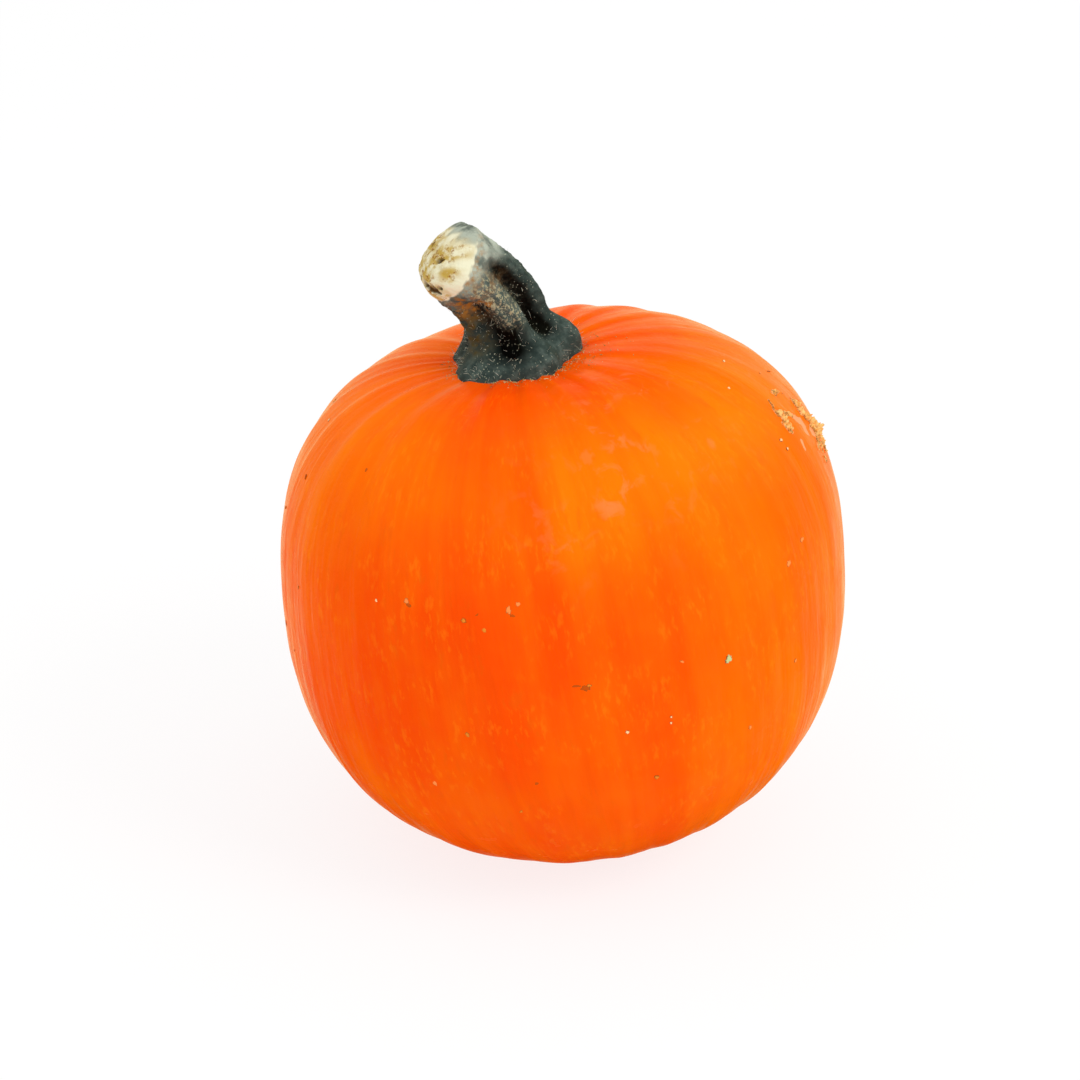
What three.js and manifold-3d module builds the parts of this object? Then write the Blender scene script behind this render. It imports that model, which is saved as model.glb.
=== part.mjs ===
// Small round pumpkin with its dry, five-ridged stem.
//
// Millimetres, +Z up. The pumpkin stands on the small flat spot under it, and the origin is on that
// flat, midway across the fruit. -Y is the front. The stem leans to the left (-X) and a little to
// the front.
//
// Nodes: fruit and stem. The fruit grew as one piece, so it is one solid. The stem's foot follows
// the dimple it stands in, a hair's breadth above the rind.

import * as THREE from 'three';
import Module from 'manifold-3d';

const wasm = await Module();
wasm.setup();

// ---- driving dimensions, in millimetres and degrees ----

// The body is a rounded barrel about its own axis, which leans a little to the left.
const BODY_RADIUS = 59.2;
const TOP_HEIGHT = 55.5; // from the widest level up to the crown, measured before the dimple
const BOTTOM_HEIGHT = 56.3; // from the widest level down to the blossom end
const TOP_SQUARENESS = 2.57; // 2 is an ellipse, more is squarer in the shoulder
const BOTTOM_SQUARENESS = 2.34;
const BODY_LEAN = 4;
const SHOULDER_SWELL = 0.025; // the right shoulder is this much fuller, as a share of the radius
const FLAT_SPOT_RISE = 1.3; // how far above the lowest point the resting flat lies

// The ribs and both dimples are laid out about the stem's axis, which leans further.
const STEM_LEAN = 10.5;
const RIB_COUNT = 18;
const FIRST_RIB = 3; // longitude of the rib that faces the front
const RIB_DEPTH_MIDDLE = 0.35;
const RIB_DEPTH_ENDS = 0.6;
const RIB_FADE = 20; // angle from either end over which the ribs die away
const STEM_DIMPLE_DEPTH = 5.2;
const STEM_DIMPLE_ANGLE = 23;
const BLOSSOM_DIMPLE_DEPTH = 2.4;
const BLOSSOM_DIMPLE_ANGLE = 5;

// The stem's centre line, from the middle of its foot to the middle of its cut end.
const STEM_PATH = [
  [1, 0.2, -6],
  [0, 0, 0],
  [-2, -0.3, 7],
  [-4.4, -1.6, 13.8],
  [-8.1, -3.6, 19.2],
  [-13.1, -5.8, 23.7],
  [-18, -7.8, 28.2],
];
const STEM_CUT_POINT = [-13.1, -5.8, 23.7];
const STEM_CUT_NORMAL = [-0.7, -0.33, 0.63];
const FOOT_RADIUS = 14.4;
const WAIST_RADIUS = 9.1;
const NECK_RADIUS = 8.4;
const CUT_RADIUS = 9.3;
const FOOT_HEIGHT = 6.2; // how far up the centre line the foot's flare reaches
const STEM_RIDGES = 5;
const FIRST_RIDGE_ANGLE = -65; // from the right-hand side, turning towards the back
const RIDGE_DEPTH_FOOT = 0.09; // grooves between the ridges, as a share of the radius
const RIDGE_DEPTH_COLUMN = 0.24;
const RIDGE_DEPTH_CUT = 0.05;
const STEM_GAP = 0.3; // between the stem's foot and the rind

// How finely the surfaces are divided.
const FRUIT_LONGITUDES = 120;
const FRUIT_RINGS = 38;
const RING_CROWDING = 0.45; // 0 spaces the rings evenly, more crowds them towards the two ends
const STEM_SECTIONS = 22;
const STEM_SECTION_POINTS = 50;

// ---- small helpers ----

const radians = THREE.MathUtils.degToRad;
const { clamp, lerp, smoothstep } = THREE.MathUtils;

// A unit vector that leans from straight up towards the left by the given angle.
function leaningAxis(degrees) {
  return new THREE.Vector3(-Math.sin(radians(degrees)), 0, Math.cos(radians(degrees)));
}

// A hump that is 1 in the middle and falls away on both sides.
function hump(x, width) {
  return Math.exp(-((x / width) ** 2));
}

// ---- the fruit's surface ----

const bodyAxis = leaningAxis(BODY_LEAN);
const stemAxis = leaningAxis(STEM_LEAN);
const frontAxis = new THREE.Vector3(0, -1, 0);
const sideAxis = new THREE.Vector3().crossVectors(stemAxis, frontAxis);
const swellAxis = new THREE.Vector3(1, 0, 1).normalize();

// The direction at an angle from the stem's axis and a longitude from the front.
function direction(angle, longitude) {
  return new THREE.Vector3()
    .addScaledVector(stemAxis, Math.cos(angle))
    .addScaledVector(frontAxis, Math.sin(angle) * Math.cos(longitude))
    .addScaledVector(sideAxis, Math.sin(angle) * Math.sin(longitude));
}

// The smooth barrel's radius along a direction.
function barrelRadius(dir) {
  const up = dir.dot(bodyAxis);
  const out = Math.sqrt(Math.max(0, 1 - up * up));
  const height = up >= 0 ? TOP_HEIGHT : BOTTOM_HEIGHT;
  const squareness = up >= 0 ? TOP_SQUARENESS : BOTTOM_SQUARENESS;
  const sum = (out / BODY_RADIUS) ** squareness + (Math.abs(up) / height) ** squareness;
  const swell = 1 + SHOULDER_SWELL * clamp(dir.dot(swellAxis), 0, 1) ** 3;
  return swell * sum ** (-1 / squareness);
}

// How deep the surface lies below a rib's crest, from 0 on a crest to about 1 in a furrow. The
// ribs crowd together on some sides and spread on others, and each carries a finer one.
function furrow(longitude) {
  const crowding = 0.052 * Math.sin(longitude) - 0.096 * Math.cos(3 * longitude);
  const turned = longitude + crowding - radians(FIRST_RIB);
  const main = (0.5 - 0.5 * Math.cos(RIB_COUNT * turned)) ** 1.5;
  const fine = 0.5 - 0.5 * Math.cos(2 * RIB_COUNT * turned + 1);
  const share = 0.75 + 0.25 * Math.sin(2 * longitude + 1.3);
  return share * main + 0.25 * fine;
}

function ribDepth(angle) {
  const ends = Math.abs(Math.cos(angle)) ** 1.5;
  const fromPole = Math.min(angle, Math.PI - angle);
  const fade = smoothstep(fromPole, 0, radians(RIB_FADE));
  return fade * lerp(RIB_DEPTH_MIDDLE, RIB_DEPTH_ENDS, ends);
}

function fruitRadius(angle, longitude) {
  const stemDimple = STEM_DIMPLE_DEPTH * hump(angle, radians(STEM_DIMPLE_ANGLE));
  const blossomDimple = BLOSSOM_DIMPLE_DEPTH * hump(Math.PI - angle, radians(BLOSSOM_DIMPLE_ANGLE));
  const ribs = ribDepth(angle) * furrow(longitude);
  return barrelRadius(direction(angle, longitude)) - stemDimple - blossomDimple - ribs;
}

// A point on the fruit's surface, raised off it by the given amount.
function fruitPoint(angle, longitude, raised = 0) {
  return direction(angle, longitude).multiplyScalar(fruitRadius(angle, longitude) + raised);
}

// ---- closed solids from rings of points ----

// A solid skinned over rings of points, which run anticlockwise seen from the far end. A point at
// either end closes it.
function skin(start, rings, end) {
  const around = rings[0].length;
  const points = [start, ...rings.flat(), end];
  const last = points.length - 1;
  const at = (ring, i) => 1 + ring * around + (i % around);
  const faces = [];
  for (let i = 0; i < around; i += 1) {
    faces.push(0, at(0, i + 1), at(0, i));
    faces.push(last, at(rings.length - 1, i), at(rings.length - 1, i + 1));
    for (let ring = 0; ring < rings.length - 1; ring += 1) {
      faces.push(at(ring, i), at(ring, i + 1), at(ring + 1, i + 1));
      faces.push(at(ring, i), at(ring + 1, i + 1), at(ring + 1, i));
    }
  }
  const vertProperties = new Float32Array(points.flatMap((point) => point.toArray()));
  return new wasm.Manifold(new wasm.Mesh({ numProp: 3, vertProperties, triVerts: new Uint32Array(faces) }));
}

// A block as a manifold solid, standing on a point and facing along a direction.
function block(size, point, normal) {
  const geometry = new THREE.BoxGeometry(size, size, size);
  const turn = new THREE.Quaternion().setFromUnitVectors(new THREE.Vector3(0, 0, 1), normal);
  geometry.translate(0, 0, size / 2);
  geometry.applyQuaternion(turn);
  geometry.translate(point.x, point.y, point.z);
  const mesh = new wasm.Mesh({
    numProp: 3,
    vertProperties: new Float32Array(geometry.attributes.position.array),
    triVerts: new Uint32Array(geometry.index.array),
  });
  mesh.merge();
  return new wasm.Manifold(mesh);
}

function geometryFrom(solid, shift) {
  const mesh = solid.getMesh();
  const geometry = new THREE.BufferGeometry();
  geometry.setAttribute('position', new THREE.BufferAttribute(new Float32Array(mesh.vertProperties), 3));
  geometry.setIndex(new THREE.BufferAttribute(new Uint32Array(mesh.triVerts), 1));
  geometry.translate(shift.x, shift.y, shift.z);
  return geometry;
}

// ---- the fruit ----

// The whole fruit, grown outwards by the given amount, before its flat spot is cut.
function fruitBody(raised = 0) {
  const rings = [];
  for (let ring = FRUIT_RINGS - 1; ring > 0; ring -= 1) {
    const share = ring / FRUIT_RINGS;
    const angle = Math.PI * share - (RING_CROWDING / 2) * Math.sin(2 * Math.PI * share);
    const points = [];
    for (let i = 0; i < FRUIT_LONGITUDES; i += 1) {
      points.push(fruitPoint(angle, (2 * Math.PI * i) / FRUIT_LONGITUDES, raised));
    }
    rings.push(points);
  }
  return skin(fruitPoint(Math.PI, 0, raised), rings, fruitPoint(0, 0, raised));
}

function makeFruit() {
  const body = fruitBody();
  const floor = body.boundingBox().min[2] + FLAT_SPOT_RISE;
  const below = block(4 * BODY_RADIUS, new THREE.Vector3(0, 0, floor), new THREE.Vector3(0, 0, -1));
  return body.subtract(below);
}

// ---- the stem ----

// The radius of the stem's crests at a distance up its centre line: a bell-shaped foot, a waist,
// and a slight lip at the cut.
function crestRadius(distance, length) {
  const flare = (FOOT_RADIUS - WAIST_RADIUS) * Math.exp(-((Math.max(distance, 0) / FOOT_HEIGHT) ** 3));
  const narrowing = (WAIST_RADIUS - NECK_RADIUS) * smoothstep(distance, 0.25 * length, 0.6 * length);
  const lip = (CUT_RADIUS - NECK_RADIUS) * smoothstep(distance, 0.75 * length, 0.95 * length);
  return WAIST_RADIUS + flare - narrowing + lip;
}

function grooveShare(distance, length) {
  const risen = lerp(RIDGE_DEPTH_FOOT, RIDGE_DEPTH_COLUMN, smoothstep(distance, 0, 0.35 * length));
  return lerp(risen, RIDGE_DEPTH_CUT, smoothstep(distance, 0.65 * length, length));
}

// One cross-section of the stem: its crests lie on a circle, with hollows between them.
function stemSection(centre, tangent, distance, length) {
  const right = new THREE.Vector3(1, 0, 0).addScaledVector(tangent, -tangent.x).normalize();
  const back = new THREE.Vector3().crossVectors(tangent, right);
  const crest = crestRadius(distance, length);
  const groove = grooveShare(distance, length);
  const points = [];
  for (let i = 0; i < STEM_SECTION_POINTS; i += 1) {
    const around = (2 * Math.PI * i) / STEM_SECTION_POINTS;
    const wave = 0.5 - 0.5 * Math.cos(STEM_RIDGES * (around - radians(FIRST_RIDGE_ANGLE)));
    const radius = crest * (1 - groove * wave);
    points.push(
      centre
        .clone()
        .addScaledVector(right, radius * Math.cos(around))
        .addScaledVector(back, radius * Math.sin(around)),
    );
  }
  return points;
}

function makeStem() {
  const foot = fruitPoint(0, 0);
  const path = new THREE.CatmullRomCurve3(STEM_PATH.map((point) => new THREE.Vector3(...point).add(foot)));
  const cutPoint = new THREE.Vector3(...STEM_CUT_POINT).add(foot);
  const buried = new THREE.Vector3(...STEM_PATH[0]).length();
  const length = path.getLength() - buried;
  const rings = [];
  for (let section = 0; section <= STEM_SECTIONS; section += 1) {
    const share = section / STEM_SECTIONS;
    const distance = share * path.getLength() - buried;
    rings.push(stemSection(path.getPointAt(share), path.getTangentAt(share), distance, length));
  }
  const column = skin(path.getPointAt(0), rings, path.getPointAt(1));
  const beyondCut = block(8 * CUT_RADIUS, cutPoint, new THREE.Vector3(...STEM_CUT_NORMAL).normalize());
  return column.subtract(beyondCut).subtract(fruitBody(STEM_GAP));
}

// ---- the assembled pumpkin ----

function rindMaterial() {
  return new THREE.MeshStandardMaterial({ name: 'rind', color: 0xfb6400, roughness: 0.35, metalness: 0 });
}

function stemMaterial() {
  return new THREE.MeshStandardMaterial({ name: 'stem', color: 0x3f4437, roughness: 0.8, metalness: 0 });
}

function namedMesh(name, solid, shift, material) {
  const mesh = new THREE.Mesh(geometryFrom(solid, shift), material);
  mesh.name = name;
  return mesh;
}

function buildPumpkin() {
  const fruit = makeFruit();
  const { min, max } = fruit.boundingBox();
  const shift = new THREE.Vector3(-(min[0] + max[0]) / 2, -(min[1] + max[1]) / 2, -min[2]);
  const pumpkin = new THREE.Group();
  pumpkin.add(namedMesh('fruit', fruit, shift, rindMaterial()));
  pumpkin.add(namedMesh('stem', makeStem(), shift, stemMaterial()));
  return pumpkin;
}

export default buildPumpkin();
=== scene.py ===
"""The looks of a small round pumpkin with its dry, five-ridged stem.

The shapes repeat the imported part's own formulas, far more finely, in millimetres about the middle
of the fruit's body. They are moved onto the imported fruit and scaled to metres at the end.
-Y is the front and +Z is up.
"""

import math

import bpy
import numpy as np
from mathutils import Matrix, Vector, noise


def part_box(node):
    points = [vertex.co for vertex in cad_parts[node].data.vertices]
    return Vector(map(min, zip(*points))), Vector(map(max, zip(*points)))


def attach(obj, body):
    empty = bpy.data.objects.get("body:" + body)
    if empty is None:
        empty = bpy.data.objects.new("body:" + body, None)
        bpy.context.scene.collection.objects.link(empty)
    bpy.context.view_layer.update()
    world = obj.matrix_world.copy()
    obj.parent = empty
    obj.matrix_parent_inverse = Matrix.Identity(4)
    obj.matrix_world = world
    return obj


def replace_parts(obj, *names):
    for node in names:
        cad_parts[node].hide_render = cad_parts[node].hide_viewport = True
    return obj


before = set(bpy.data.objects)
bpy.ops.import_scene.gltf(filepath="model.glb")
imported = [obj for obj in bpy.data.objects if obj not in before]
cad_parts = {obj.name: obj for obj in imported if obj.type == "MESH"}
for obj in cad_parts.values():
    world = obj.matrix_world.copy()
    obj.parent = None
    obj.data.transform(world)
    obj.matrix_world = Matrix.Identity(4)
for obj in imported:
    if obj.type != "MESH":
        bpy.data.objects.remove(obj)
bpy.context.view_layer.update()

MM = 0.001

# ---- driving dimensions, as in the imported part: millimetres and degrees ----

BODY_RADIUS = 59.2
TOP_HEIGHT = 55.5
BOTTOM_HEIGHT = 56.3
TOP_SQUARENESS = 2.57
BOTTOM_SQUARENESS = 2.34
BODY_LEAN = 4
SHOULDER_SWELL = 0.025
FLAT_SPOT_RISE = 1.3

STEM_LEAN = 10.5
RIB_COUNT = 18
FIRST_RIB = 3
RIB_DEPTH_MIDDLE = 0.35
RIB_DEPTH_ENDS = 0.6
RIB_FADE = 20
STEM_DIMPLE_DEPTH = 5.2
STEM_DIMPLE_ANGLE = 23
BLOSSOM_DIMPLE_DEPTH = 2.4
BLOSSOM_DIMPLE_ANGLE = 5

STEM_PATH = [
    [1, 0.2, -6],
    [0, 0, 0],
    [-2, -0.3, 7],
    [-4.4, -1.6, 13.8],
    [-8.1, -3.6, 19.2],
    [-13.1, -5.8, 23.7],
    [-18, -7.8, 28.2],
]
STEM_CUT_POINT = [-13.3, -5.9, 23.8]
STEM_CUT_NORMAL = [-0.78, -0.38, 0.45]
FOOT_RADIUS = 14.4
WAIST_RADIUS = 9.1
NECK_RADIUS = 8.4
CUT_RADIUS = 9.3
FOOT_HEIGHT = 6.2
STEM_RIDGES = 5
FIRST_RIDGE_ANGLE = -65
RIDGE_DEPTH_FOOT = 0.09
RIDGE_DEPTH_COLUMN = 0.24
RIDGE_DEPTH_CUT = 0.05

# ---- detail that only the looks have ----

FRUIT_LONGITUDES = 400
FRUIT_RINGS = 230
RING_CROWDING = 0.35
STEM_COLUMNS = 300
STEM_ROWS = 210
CUT_RINGS = 44
SEED = 7


# ---- small helpers ----


def unit(vector):
    vector = np.asarray(vector, float)
    return vector / np.linalg.norm(vector, axis=-1, keepdims=True)


def smoothstep(x, low, high):
    t = np.clip((x - low) / (high - low), 0, 1)
    return t * t * (3 - 2 * t)


def lerp(a, b, t):
    return a + (b - a) * t


def hump(x, width):
    """1 in the middle, falling away on both sides."""
    return np.exp(-((x / width) ** 2))


def turn_between(a, b):
    """The smallest turn from angle b to angle a, in radians."""
    return (a - b + math.pi) % (2 * math.pi) - math.pi


def soft_noise(points, size, seed=0):
    """Smooth noise from about -1 to 1 over points in millimetres, with features of the given size."""
    flat = np.asarray(points, float).reshape(-1, 3) / size + 17.3 * seed
    values = np.array([noise.noise(Vector(p)) for p in flat])
    return values.reshape(np.shape(points)[:-1])


# ---- the fruit's surface ----


def leaning_axis(degrees):
    """A unit vector that leans from straight up towards the left."""
    return np.array([-math.sin(math.radians(degrees)), 0, math.cos(math.radians(degrees))])


BODY_AXIS = leaning_axis(BODY_LEAN)
STEM_AXIS = leaning_axis(STEM_LEAN)
FRONT_AXIS = np.array([0.0, -1.0, 0.0])
SIDE_AXIS = np.cross(STEM_AXIS, FRONT_AXIS)
SWELL_AXIS = unit([1, 0, 1])


def direction(angle, longitude):
    """The direction at an angle from the stem's axis and a longitude from the front."""
    angle, longitude = np.broadcast_arrays(angle, longitude)
    up = np.cos(angle)[..., None] * STEM_AXIS
    front = (np.sin(angle) * np.cos(longitude))[..., None] * FRONT_AXIS
    side = (np.sin(angle) * np.sin(longitude))[..., None] * SIDE_AXIS
    return up + front + side


def barrel_radius(directions):
    up = directions @ BODY_AXIS
    out = np.sqrt(np.clip(1 - up * up, 0, 1))
    height = np.where(up >= 0, TOP_HEIGHT, BOTTOM_HEIGHT)
    squareness = np.where(up >= 0, TOP_SQUARENESS, BOTTOM_SQUARENESS)
    total = (out / BODY_RADIUS) ** squareness + (np.abs(up) / height) ** squareness
    swell = 1 + SHOULDER_SWELL * np.clip(directions @ SWELL_AXIS, 0, 1) ** 3
    return swell * total ** (-1 / squareness)


def rib_turn(longitude):
    """The longitude, stretched so that the ribs are evenly spaced in it."""
    crowding = 0.052 * np.sin(longitude) - 0.096 * np.cos(3 * longitude)
    return longitude + crowding - math.radians(FIRST_RIB)


def furrow(longitude):
    """How deep the surface lies below a rib's crest: 0 on a crest, about 1 in a furrow."""
    turned = rib_turn(longitude)
    main = (0.5 - 0.5 * np.cos(RIB_COUNT * turned)) ** 1.5
    fine = 0.5 - 0.5 * np.cos(2 * RIB_COUNT * turned + 1)
    share = 0.75 + 0.25 * np.sin(2 * longitude + 1.3)
    return share * main + 0.25 * fine


def rib_depth(angle):
    ends = np.abs(np.cos(angle)) ** 1.5
    from_pole = np.minimum(angle, math.pi - angle)
    fade = smoothstep(from_pole, 0, math.radians(RIB_FADE))
    return fade * lerp(RIB_DEPTH_MIDDLE, RIB_DEPTH_ENDS, ends)


def fruit_radius(angle, longitude):
    stem_dimple = STEM_DIMPLE_DEPTH * hump(angle, math.radians(STEM_DIMPLE_ANGLE))
    blossom_dimple = BLOSSOM_DIMPLE_DEPTH * hump(math.pi - angle, math.radians(BLOSSOM_DIMPLE_ANGLE))
    ribs = rib_depth(angle) * furrow(longitude)
    return barrel_radius(direction(angle, longitude)) - stem_dimple - blossom_dimple - ribs


def fruit_point(angle, longitude, raised=0.0):
    radius = fruit_radius(angle, longitude) + raised
    return direction(angle, longitude) * np.asarray(radius)[..., None]


def fruit_angles(points):
    """The angle and longitude of points, as seen from the middle of the body."""
    dirs = unit(points)
    angle = np.arccos(np.clip(dirs @ STEM_AXIS, -1, 1))
    return angle, np.arctan2(dirs @ SIDE_AXIS, dirs @ FRONT_AXIS)


# ---- meshes from rings of points ----


def smooth_mesh(name, points, faces):
    mesh = bpy.data.meshes.new(name)
    mesh.from_pydata(points.tolist(), [], faces)
    mesh.polygons.foreach_set("use_smooth", np.ones(len(mesh.polygons), bool))
    mesh.update()
    return mesh


def ring_quads(start, count, around):
    """The faces between neighbouring rings, whose points are numbered from start."""
    i = np.arange(around)
    following = (i + 1) % around
    low = start + around * np.arange(count - 1)[:, None]
    quads = [low + i, low + following, low + around + following, low + around + i]
    return np.stack(quads, -1).reshape(-1, 4).tolist()


def fan(hub, start, around):
    """The triangles from a hub to a ring, whose points are numbered from start."""
    i = np.arange(around)
    return np.stack([np.full(around, hub), start + i, start + (i + 1) % around], 1).tolist()


def skin(name, rings, start, end):
    """A mesh skinned over rings of points. Its end is closed by a point, and so is its start
    unless that is None."""
    count, around = rings.shape[:2]
    points = [rings.reshape(-1, 3)]
    faces = ring_quads(0, count, around)
    last = count * around
    if start is not None:
        points.append([start])
        faces += [[hub, b, a] for hub, a, b in fan(last, 0, around)]
        last += 1
    points.append([end])
    faces += fan(last, (count - 1) * around, around)
    return smooth_mesh(name, np.concatenate(points), faces)


def mesh_points(mesh):
    points = np.empty(len(mesh.vertices) * 3)
    mesh.vertices.foreach_get("co", points)
    return points.reshape(-1, 3)


def add_attribute(mesh, name, values, kind="FLOAT"):
    layer = mesh.attributes.new(name, kind, "POINT")
    key = "value" if kind == "FLOAT" else "vector"
    layer.data.foreach_set(key, np.asarray(values, np.float32).ravel())


def new_object(name, data):
    made = bpy.data.objects.new(name, data)
    bpy.context.scene.collection.objects.link(made)
    return made


def place(mesh, name, material):
    """An object for a mesh in millimetres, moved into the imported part's frame."""
    moved = (mesh_points(mesh) + SHIFT) * MM
    mesh.vertices.foreach_set("co", moved.ravel())
    mesh.update()
    piece = new_object(name, mesh)
    mesh.materials.append(material)
    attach(piece, "root")
    return piece


# ---- node materials ----

# A mix node has sockets for every kind of value. These are the numbers of its colour ones.
MIX_COLOUR_A = 6
MIX_COLOUR_B = 7
MIX_COLOUR_RESULT = 2


class Tree:
    """Short ways to build the nodes of a material or the world."""

    def __init__(self, owner, shader="Principled BSDF"):
        owner.use_nodes = True
        self.owner = owner
        self.nodes = owner.node_tree.nodes
        self.links = owner.node_tree.links
        self.shader = self.nodes[shader]

    def put(self, socket, value):
        if isinstance(value, bpy.types.NodeSocket):
            self.links.new(value, socket)
        elif isinstance(value, tuple) and len(value) == 3 and socket.type == "RGBA":
            socket.default_value = (*value, 1)
        else:
            socket.default_value = value

    def make(self, kind, output, **values):
        """The output of a new node, with its inputs set or linked by name."""
        node = self.nodes.new("ShaderNode" + kind)
        for key, value in values.items():
            self.put(node.inputs[key], value)
        return node.outputs[output]

    def attribute(self, name, output="Fac"):
        node = self.nodes.new("ShaderNodeAttribute")
        node.attribute_name = name
        return node.outputs[output]

    def noise(self, vector, scale, detail=2.0, roughness=0.5, distortion=0.0):
        shape = {"Detail": detail, "Roughness": roughness, "Distortion": distortion}
        return self.make("TexNoise", "Fac", Vector=vector, Scale=scale, **shape)

    def cells(self, vector, scale):
        return self.make("TexVoronoi", "Distance", Vector=vector, Scale=scale)

    def math(self, operation, a, b=0.0, clamp=False):
        node = self.nodes.new("ShaderNodeMath")
        node.operation = operation
        node.use_clamp = clamp
        self.put(node.inputs[0], a)
        self.put(node.inputs[1], b)
        return node.outputs[0]

    def times(self, a, b):
        return self.math("MULTIPLY", a, b)

    def ramp(self, value, low, high, bottom=0.0, top=1.0):
        """A smooth step: bottom below low, top above high."""
        node = self.nodes.new("ShaderNodeMapRange")
        node.interpolation_type = "SMOOTHSTEP"
        self.put(node.inputs["Value"], value)
        for key, number in (("From Min", low), ("From Max", high), ("To Min", bottom), ("To Max", top)):
            self.put(node.inputs[key], number)
        return node.outputs["Result"]

    def mix(self, factor, a, b):
        node = self.nodes.new("ShaderNodeMix")
        node.data_type = "RGBA"
        self.put(node.inputs["Factor"], factor)
        self.put(node.inputs[MIX_COLOUR_A], a)
        self.put(node.inputs[MIX_COLOUR_B], b)
        return node.outputs[MIX_COLOUR_RESULT]

    def coordinates(self):
        return self.make("TexCoord", "Object")

    def bump(self, height, distance, strength=1.0, normal=None):
        below = {} if normal is None else {"Normal": normal}
        return self.make("Bump", "Normal", Height=height, Distance=distance, Strength=strength, **below)

    def finish(self, colour, roughness, normal, **settings):
        for key, value in (("Base Color", colour), ("Roughness", roughness), ("Normal", normal)):
            self.put(self.shader.inputs[key], value)
        for key, value in settings.items():
            self.shader.inputs[key.replace("_", " ")].default_value = value
        return self.owner


# Colours are linear red, green and blue.
RIND_DEEP = (0.93, 0.072, 0.0006)
RIND_WARM = (0.98, 0.185, 0.001)
RIND_FLECK = (0.99, 0.25, 0.006)
RIND_SMUDGE = (0.80, 0.105, 0.002)
# The pinkish colour of the painted highlight patches.
RIND_PAINTED_HIGHLIGHT = (1.0, 0.30, 0.13)
FLECK_STRENGTH = 0.3
PAINTED_HIGHLIGHT_STRENGTH = 0.42
# Kept low, because the white room would otherwise grey the colours.
RIND_SPECULAR = 0.034
CORK_SPECULAR = 0.1
BARK_SPECULAR = 0.12


def rind_material():
    """Glossy orange skin: a redder and a yellower orange, yellower partly through painted light from
    above and the right, flecked along the ribs, with painted pinkish highlight patches high on the
    right, finely bumpy.
    Noise over grain and streak has its scale per millimetre, the rest per metre."""
    tree = Tree(bpy.data.materials.new("pumpkin_rind"))
    grain = tree.attribute("grain", "Vector")
    streak = tree.attribute("streak", "Vector")
    here = tree.coordinates()
    bands = tree.noise(streak, 0.13, detail=3, roughness=0.55)
    blotches = tree.noise(here, 55, detail=3, roughness=0.55)
    # Painted light: the rind is yellower where light falls, high up and on the right, over its own
    # uneven tone.
    warmth_and_light = tree.attribute("warmth_and_light")
    warmth_and_light = tree.math("ADD", warmth_and_light, tree.ramp(bands, 0.3, 0.7, -0.14, 0.14))
    warmth_and_light = tree.math("ADD", warmth_and_light, tree.ramp(blotches, 0.3, 0.7, -0.1, 0.1), clamp=True)
    colour = tree.mix(warmth_and_light, RIND_DEEP, RIND_WARM)
    dabs = tree.ramp(tree.noise(grain, 0.8, detail=4, roughness=0.6), 0.5, 0.68)
    patches = tree.ramp(tree.noise(here, 75, detail=2), 0.4, 0.62)
    flecked = tree.times(tree.times(dabs, patches), FLECK_STRENGTH)
    colour = tree.mix(flecked, colour, RIND_FLECK)
    smudges = tree.ramp(tree.noise(grain, 0.33, detail=3, roughness=0.6), 0.58, 0.74, 0, 0.35)
    colour = tree.mix(smudges, colour, RIND_SMUDGE)
    # Painted highlight: pinkish patches high on the right, in place of a softbox's reflection on the
    # bumpy skin.
    highlight_patches = tree.ramp(tree.noise(here, 230, detail=4, roughness=0.62, distortion=0.6), 0.52, 0.66)
    highlight_patches = tree.times(highlight_patches, tree.ramp(tree.noise(here, 70, detail=1), 0.42, 0.58))
    highlight_patches = tree.times(highlight_patches, tree.attribute("painted_highlight"))
    colour = tree.mix(tree.times(highlight_patches, PAINTED_HIGHLIGHT_STRENGTH), colour, RIND_PAINTED_HIGHLIGHT)
    pores = tree.ramp(tree.cells(here, 900), 0.1, 0.45)
    dents = tree.noise(here, 330, detail=3, roughness=0.5)
    waves = tree.noise(here, 90, detail=2)
    lines = tree.noise(streak, 0.55, detail=2)
    normal = tree.bump(waves, 0.0010, 0.35)
    normal = tree.bump(lines, 0.0005, tree.times(tree.attribute("lined"), 0.55), normal)
    normal = tree.bump(dents, 0.00028, 0.4, normal)
    normal = tree.bump(pores, 0.00004, 0.4, normal)
    roughness = tree.ramp(tree.noise(here, 160, detail=4), 0.3, 0.7, 0.17, 0.28)
    return tree.finish(colour, roughness, normal, IOR=1.42, Specular_IOR_Level=RIND_SPECULAR)


CORK_BROWN = (0.30, 0.09, 0.010)
CORK_EDGE = (0.42, 0.085, 0.006)


def cork_material():
    """Dry scab on the skin: pale cork on top, darker where it is low and at its edge, partly the cork's
    own tone and partly painted shade.
    """
    tree = Tree(bpy.data.materials.new("pumpkin_cork"))
    here = tree.coordinates()
    top = tree.attribute("top")
    grain = tree.noise(here, 1500, detail=4, roughness=0.7)
    colour = tree.mix(tree.ramp(grain, 0.38, 0.62), CORK_BROWN, tree.attribute("tint", "Color"))
    colour = tree.mix(tree.ramp(top, 0.3, 0.9), colour, tree.attribute("tint", "Color"))
    colour = tree.mix(tree.ramp(top, 0.0, 0.35), CORK_EDGE, colour)
    normal = tree.bump(grain, 0.0002, 0.6)
    roughness = tree.ramp(grain, 0.3, 0.7, 0.6, 0.85)
    return tree.finish(colour, roughness, normal, Specular_IOR_Level=CORK_SPECULAR)


BARK_DARK = (0.028, 0.047, 0.041)
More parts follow.
